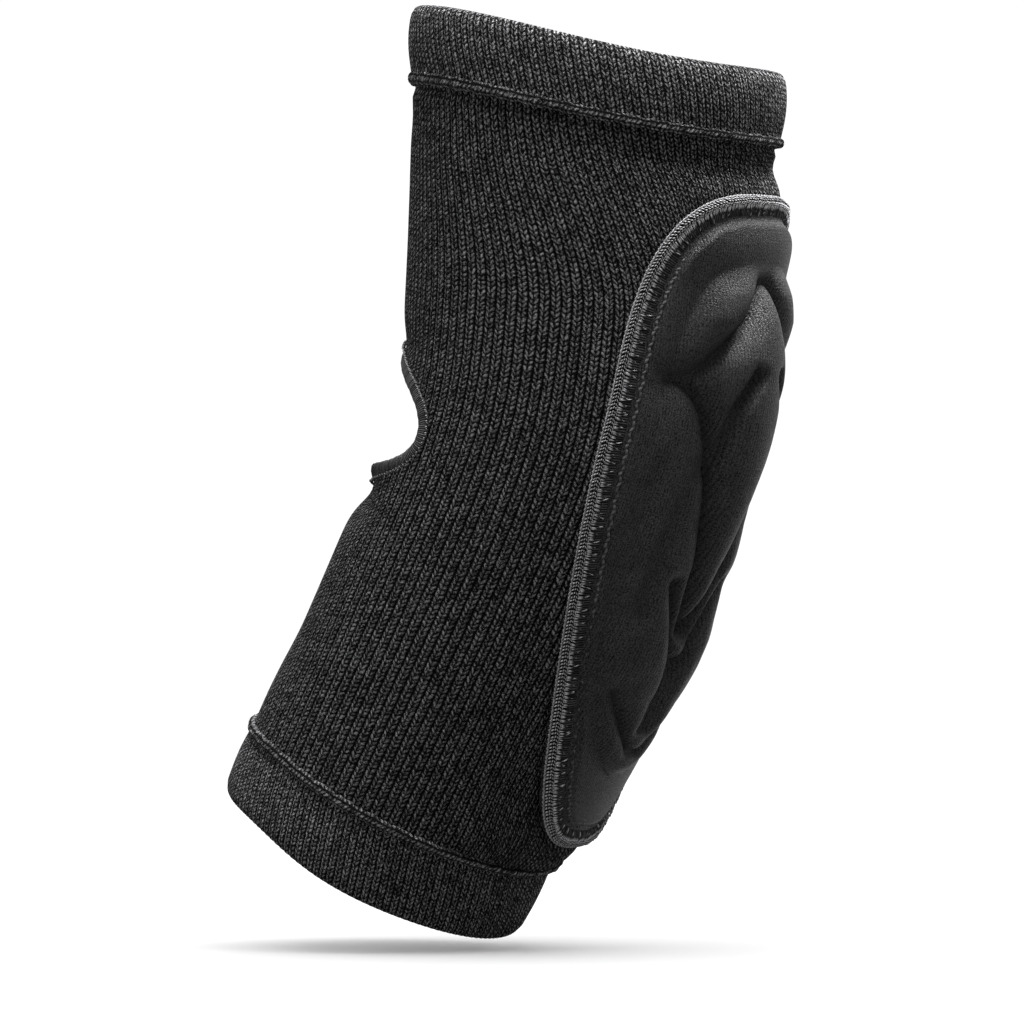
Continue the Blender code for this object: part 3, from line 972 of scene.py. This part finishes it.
def full_form(turn, run):
    """The padding's full height in metres, from the table, smoothly between its places."""
    table = np.array(FORM)
    turns = np.radians(FORM_TURNS)
    away = from_middle(turn)
    column = np.clip(np.searchsorted(turns, away, side="right") - 1, 0, len(turns) - 2)
    # Only a little eased, so that the form has no flat steps at the table's turns.
    ends = -0.25, 1.25
    start = ease(0.0, *ends)
    share = ease((away - turns[column]) / (turns[column + 1] - turns[column]), *ends)
    share = (share - start) / (1.0 - 2.0 * start)
    rows = np.clip(np.searchsorted(table[:, 0], run, side="right") - 1, 0, len(table) - 2)
    down = np.clip((run - table[rows, 0]) / (table[rows + 1, 0] - table[rows, 0]), 0.0, 1.0)
    upper = mix((table[rows, column + 1], table[rows, column + 2]), share)
    lower = mix((table[rows + 1, column + 1], table[rows + 1, column + 2]), share)
    return mix((upper, lower), down) / 1000.0


def pad_height(turn, run):
    """The height of the pad's cover above the arm."""
    lift = wrist_lift(run)
    flange = FLANGE_HEIGHT + lift + 0.0014 * hump(run, 0.205, 0.035)
    full = flange + np.maximum(full_form(turn, run) - flange, 0.0) * raised(turn, run)
    floor = CHANNEL_HEIGHT + 0.8 * lift
    shaped = floor + (full - floor) * channels(turn, run)
    at_seam = 1.0 - ease(seam_distance(turn, run), SEAM_WIDTH - 0.0008, SEAM_WIDTH + 0.0022)
    return mix((shaped, SEAM_INNER_HEIGHT + 0.0004 + pad_lift(turn, run)), at_seam)


def pad_disc(a, b):
    """Turn and run for a square grid spread evenly over the pad's outline, a little inside it."""
    u, v = a * 2.0 - 1.0, b * 2.0 - 1.0
    across, along = u * np.sqrt(1.0 - v * v / 2.0), v * np.sqrt(1.0 - u * u / 2.0)
    round_size = np.hypot(across, along)
    safe = np.where(round_size > 0.0, round_size, 1.0)
    cos, sin = across / safe, np.where(round_size > 0.0, along / safe, 1.0)
    size = PAD_EDGE * (np.abs(cos) ** PAD_ROUNDNESS + np.abs(sin) ** PAD_ROUNDNESS) ** (-1.0 / PAD_ROUNDNESS)
    run = PAD_MIDDLE + along * size * PAD_HALF_RUN
    return across * size * pad_half_turn(run), run


def grid_places(columns, rows):
    """The a and b of each point of a unit grid, in the grid's own order."""
    mesh = unit_grid(columns, rows)
    data = bpy.data.meshes.new("places")
    mesh.to_mesh(data)
    mesh.free()
    flat = coordinates(data)
    bpy.data.meshes.remove(data)
    return flat[:, 0], flat[:, 1]


def stitched_down(turn, run):
    """1 where the cover is held down, at its border and along the valleys, and 0 on the lobes."""
    x, y = flat_place(turn, run)
    held = 1.0 - ease(seam_distance(turn, run), 0.006, 0.010)
    for line, _, _ in VALLEYS:
        held = np.maximum(held, hump(distance_to(smooth_line(line), x, y), 0.0, 0.0017))
    return held


def settle_cover():
    """Blow the cover up a little as cloth, held along its stitching, and give each place's shift."""
    columns, rows = CLOTH_GRID
    sheet = bpy.data.objects.new("cover_settling", pad_sheet("cover_settling", pad_height, columns, rows))
    bpy.context.scene.collection.objects.link(sheet)
    turn, run = pad_disc(*grid_places(columns, rows))
    group = sheet.vertex_groups.new(name="stitched")
    for index, weight in enumerate(stitched_down(turn, run)):
        group.add([index], float(weight), "REPLACE")
    cloth = sheet.modifiers.new("cloth", "CLOTH")
    cloth.settings.quality = 6
    cloth.settings.mass = 0.15
    cloth.settings.tension_stiffness = 12.0
    cloth.settings.compression_stiffness = 12.0
    cloth.settings.shear_stiffness = 6.0
    cloth.settings.bending_stiffness = 0.05
    cloth.settings.use_pressure = True
    cloth.settings.uniform_pressure_force = CLOTH_PRESSURE
    cloth.settings.vertex_group_mass = "stitched"
    cloth.settings.effector_weights.gravity = 0.0
    cloth.collision_settings.use_collision = False
    cloth.point_cache.frame_start = 1
    cloth.point_cache.frame_end = CLOTH_FRAMES
    before = coordinates(sheet.data)
    for number in range(1, CLOTH_FRAMES + 1):
        bpy.context.scene.frame_set(number)
    graph = bpy.context.evaluated_depsgraph_get()
    after = coordinates(sheet.evaluated_get(graph).data)
    bpy.data.objects.remove(sheet)
    bpy.context.scene.frame_set(1)
    shift = after - before
    length = np.linalg.norm(shift, axis=1, keepdims=True)
    print("cover settled by up to", round(float(length.max()) * 1000.0, 2), "mm")
    return shift * np.minimum(1.0, MOST_SHIFT / np.maximum(length, 1e-9))


def spread_shift(shift, a, b):
    """The settled shift at any a and b, read off the settled grid."""
    columns, rows = CLOTH_GRID
    place_a, place_b = grid_places(columns, rows)
    order = np.lexsort((place_a.round(6), place_b.round(6)))
    table = shift[order].reshape(rows + 1, columns + 1, 3)
    x, y = np.clip(a, 0.0, 1.0) * columns, np.clip(b, 0.0, 1.0) * rows
    left, top = np.minimum(x.astype(int), columns - 1), np.minimum(y.astype(int), rows - 1)
    across, down = (x - left)[:, None], (y - top)[:, None]
    upper = mix((table[top, left], table[top, left + 1]), across)
    lower = mix((table[top + 1, left], table[top + 1, left + 1]), across)
    return mix((upper, lower), down)


def pad_sheet(name, height, columns, rows, shift=None, faces_arm=False):
    """A sheet over the whole pad at the height that the function gives, moved by the settled shift."""

    def points(a, b):
        turn, run = pad_disc(1.0 - a if faces_arm else a, b)
        places = drape(turn, run, height(turn, run))
        return places if shift is None else places + spread_shift(shift, a, b)

    def pattern(a, b):
        turn, run = pad_disc(1.0 - a if faces_arm else a, b)
        return turn * ARM_RADIUS / JERSEY_WALE, run * BACK_LENGTH / JERSEY_COURSE

    return shape_mesh(name, unit_grid(columns, rows), points, pattern, close=False)


def make_pad(cover_cloth, lining_cloth, foam):
    shift = settle_cover()
    cover = add_piece(
        "pad_cover",
        pad_sheet("pad_cover", pad_height, 170, 290, shift),
        cover_cloth,
        ("pad_cover_upper", "pad_cover_elbow", "pad_cover_forearm"),
    )
    bend_with_elbow(cover)
    core_nodes = [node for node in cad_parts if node.startswith("foam_")]
    core = add_piece(
        "pad_foam_core",
        pad_sheet(
            "pad_foam_core", lambda turn, run: pad_height(turn, run) * CORE_SHARE - CORE_DROP, 60, 100
        ),
        foam,
        core_nodes,
    )
    bend_with_elbow(core)
    lining = add_piece(
        "pad_lining",
        pad_sheet("pad_lining", lambda turn, run: LINING_HEIGHT, 60, 100, faces_arm=True),
        lining_cloth,
        ("pad_lining_upper", "pad_lining_elbow", "pad_lining_forearm"),
    )
    bend_with_elbow(lining)


# ---------------------------------------------------------------- the scene

VIEW_TURN = math.radians(29.0)
VIEW_DISTANCE = 2.0
VIEW_WIDTH = 0.256
VIEW_RIGHT = Vector((math.cos(VIEW_TURN), math.sin(VIEW_TURN), 0.0))
VIEW_BACK = Vector((math.sin(VIEW_TURN), -math.cos(VIEW_TURN), 0.0))
VIEW_TARGET = VIEW_RIGHT * -0.0195 + Vector((0.0, 0.0, -0.01775))
SENSOR_WIDTH = 36.0

STUDIO_STRENGTH = 1.06
FLOOR_HALF = 6.0
FLOOR_GAP = 0.0015
FLOOR_COLOUR = 0.96, 0.96, 0.96, 1.0
# Each lamp's name, its place (right of the pad, above it and towards the camera), its size and its power.
LAMPS = (
    ("top", (0.1, 2.4, 0.7), 0.9, 260.0),
    ("left", (-2.0, 0.9, 1.0), 1.2, 10.0),
    ("back", (0.8, 2.2, -0.5), 0.8, 560.0),
)
FLOOR_LAMP = "floor_fill", (0.0, 2.0, 0.3), 2.5, 20.0


def make_camera():
    data = bpy.data.cameras.new("camera")
    data.sensor_width = SENSOR_WIDTH
    data.lens = SENSOR_WIDTH * VIEW_DISTANCE / VIEW_WIDTH
    camera = bpy.data.objects.new("camera", data)
    bpy.context.scene.collection.objects.link(camera)
    camera.location = VIEW_TARGET + VIEW_BACK * VIEW_DISTANCE
    camera.rotation_euler = VIEW_BACK.to_track_quat("Z", "Y").to_euler()
    bpy.context.scene.camera = camera


def soft_light(name, place, size, power, receivers):
    """A square softbox that faces the pad and lights only what the receivers let it."""
    data = bpy.data.lights.new(name, "AREA")
    data.size = size
    data.energy = power
    lamp = bpy.data.objects.new(name, data)
    bpy.context.scene.collection.objects.link(lamp)
    right, up, near = place
    offset = VIEW_RIGHT * right + Vector((0.0, 0.0, up)) + VIEW_BACK * near
    lamp.location = VIEW_TARGET + offset
    lamp.rotation_euler = offset.to_track_quat("Z", "Y").to_euler()
    lamp.light_linking.receiver_collection = receivers


def make_floor():
    mesh = bmesh.new()
    bmesh.ops.create_grid(mesh, x_segments=1, y_segments=1, size=FLOOR_HALF)
    bmesh.ops.translate(mesh, verts=mesh.verts, vec=(0.0, 0.0, cad_box[0][2] - FLOOR_GAP))
    data = bpy.data.meshes.new("floor")
    mesh.to_mesh(data)
    mesh.free()
    floor = bpy.data.objects.new("floor", data)
    bpy.context.scene.collection.objects.link(floor)
    data.materials.append(Finish("pale floor").surface(FLOOR_COLOUR, 0.9))
    return floor


def make_studio():
    world = bpy.data.worlds.new("studio")
    world.use_nodes = True
    background = world.node_tree.nodes["Background"]
    background.inputs["Color"].default_value = (1.0, 1.0, 1.0, 1.0)
    background.inputs["Strength"].default_value = STUDIO_STRENGTH
    bpy.context.scene.world = world
    bpy.context.scene.view_settings.view_transform = "Standard"
    # The strong lamps leave out the floor, so that it throws little light back up.
    unlit = bpy.data.collections.new("unlit")
    floor = make_floor()
    unlit.objects.link(floor)
    unlit.collection_objects[0].light_linking.link_state = "EXCLUDE"
    for lamp in LAMPS:
        soft_light(*lamp, unlit)
    only_floor = bpy.data.collections.new("only_floor")
    only_floor.objects.link(floor)
    soft_light(*FLOOR_LAMP, only_floor)


def main():
    make_camera()
    make_studio()
    knit = knit_finish("ribbed knit", light=0.104, dark=0.0004)
    knit_fine = knit_finish("cuff knit", light=0.160, dark=0.0012)
    linking = knit_finish("linking knit", light=0.150, dark=0.0020)
    overlock = thread_finish("overlock thread", light=0.030, dark=0.001, strands=STRANDS_PER_MM, slant=0.5)
    loop_thread = thread_finish("looper thread", light=0.19, dark=0.010, strands=2.0, slant=1.0)
    chevron_thread = thread_finish("chevron thread", light=0.19, dark=0.018, strands=2.0, slant=1.0)
    cord_thread = thread_finish("inner cord", light=0.045, dark=0.012, strands=0.7, slant=1.0)
    overcast = thread_finish("overcast thread", light=0.055, dark=0.003, strands=STRANDS_PER_MM, slant=0.0)
    pale = thread_finish("pale thread", light=0.26, dark=0.05, strands=3.0, slant=1.0)
    cover_cloth = jersey_finish("stretch cover", light=0.0155, dark=0.0003, sheen=0.0)
    lining_cloth = jersey_finish("lining jersey", light=0.012, dark=0.004, sheen=0.01)
    make_sleeve(knit, knit_fine)
    make_linking_seams(linking)
    make_crook_edge(overcast, loop_thread)
    make_overlock(overlock, loop_thread, chevron_thread, cord_thread, pale)
    make_pad(cover_cloth, lining_cloth, foam_finish())


main()
